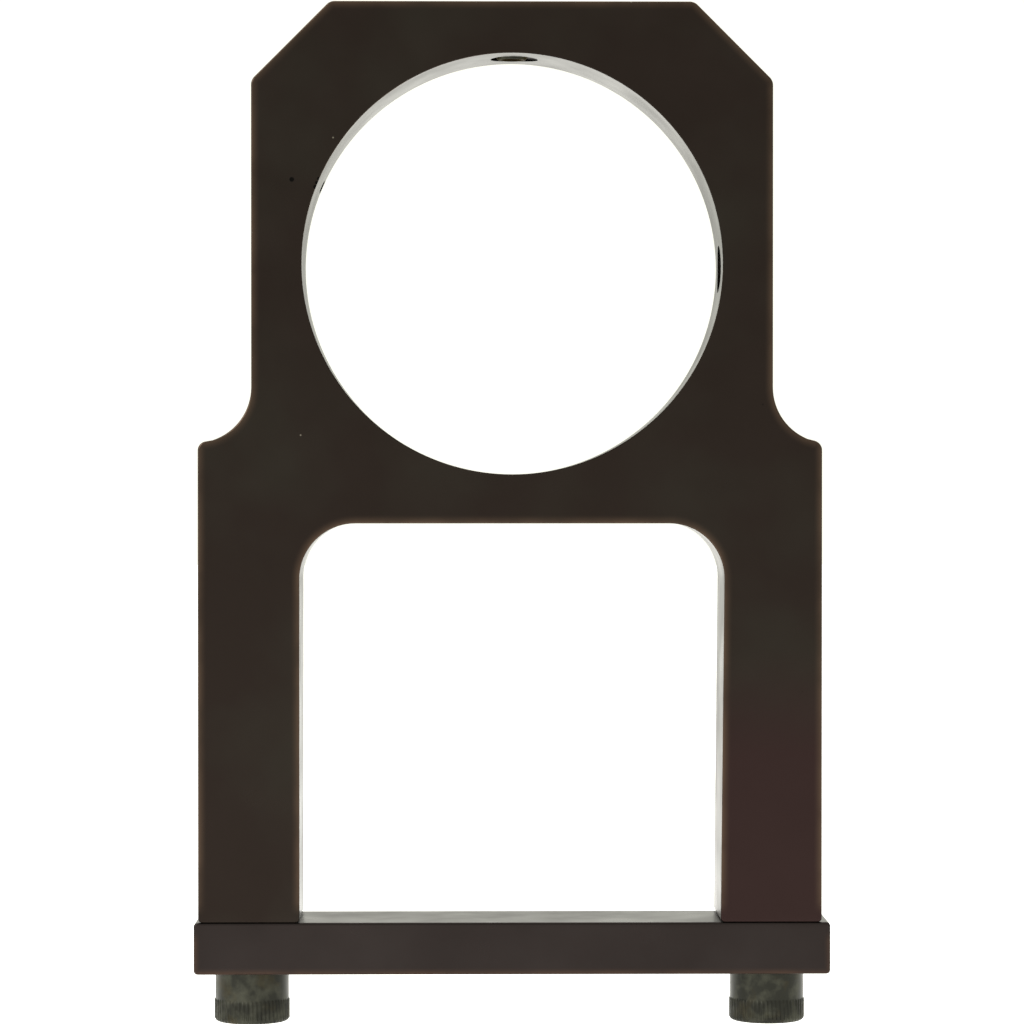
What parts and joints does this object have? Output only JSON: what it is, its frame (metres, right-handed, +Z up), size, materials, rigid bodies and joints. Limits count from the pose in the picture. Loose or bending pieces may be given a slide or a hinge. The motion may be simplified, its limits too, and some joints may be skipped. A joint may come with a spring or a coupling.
{
  "type": "watch movement holder",
  "caption": "Upright bracket with a large round bore gripped by set screws, on two legs closed by a bolted crossbar that clamps it on a rail.",
  "frame": {"origin": "centre of the large bore, at the plate's mid-thickness", "axes": "+X to the right along the crossbar, +Y to the rear along the bore, +Z up; the crossbar and the legs are at -Z"},
  "size_m": [0.0776, 0.0126, 0.1248],
  "materials": {
    "plate_anodised": "black anodised, satin",
    "bar_anodised": "black anodised, satin, a little browner",
    "black_oxide": "black oxide, oily satin"
  },
  "bodies": {
    "upright_plate": {"upright_plate": "plate_anodised"},
    "clamp_bar": {"clamp_bar": "bar_anodised"},
    "left_cap_screw": {"left_cap_screw": "black_oxide"},
    "right_cap_screw": {"right_cap_screw": "black_oxide"},
    "top_set_screw": {"top_set_screw": "black_oxide"},
    "side_set_screw": {"side_set_screw": "black_oxide"}
  },
  "joints": [
    {"name": "bar_slide", "type": "slide", "parent": "upright_plate", "child": "clamp_bar", "axis": [0, 0, -1], "range_m": [0, 0.01143]},
    {"name": "left_screw_turn", "type": "hinge", "parent": "clamp_bar", "child": "left_cap_screw", "pos_m": [-0.032, 0, -0.08655], "axis": [0, 0, -1], "range_deg": [0, 3240]},
    {"name": "right_screw_turn", "type": "hinge", "parent": "clamp_bar", "child": "right_cap_screw", "pos_m": [0.0315, 0, -0.08655], "axis": [0, 0, -1], "range_deg": [0, 3240]},
    {"name": "top_screw_travel", "type": "slide", "parent": "upright_plate", "child": "top_set_screw", "axis": [0, 0, -1], "range_m": [-0.00381, 0.00254]},
    {"name": "side_screw_travel", "type": "slide", "parent": "upright_plate", "child": "side_set_screw", "axis": [-1, 0, 0], "range_m": [-0.00254, 0.00381]}
  ],
  "couplings": [
    {"joint": "left_screw_turn", "follows": "bar_slide", "rad_per_m": 4947.4},
    {"joint": "right_screw_turn", "follows": "bar_slide", "rad_per_m": 4947.4}
  ]
}
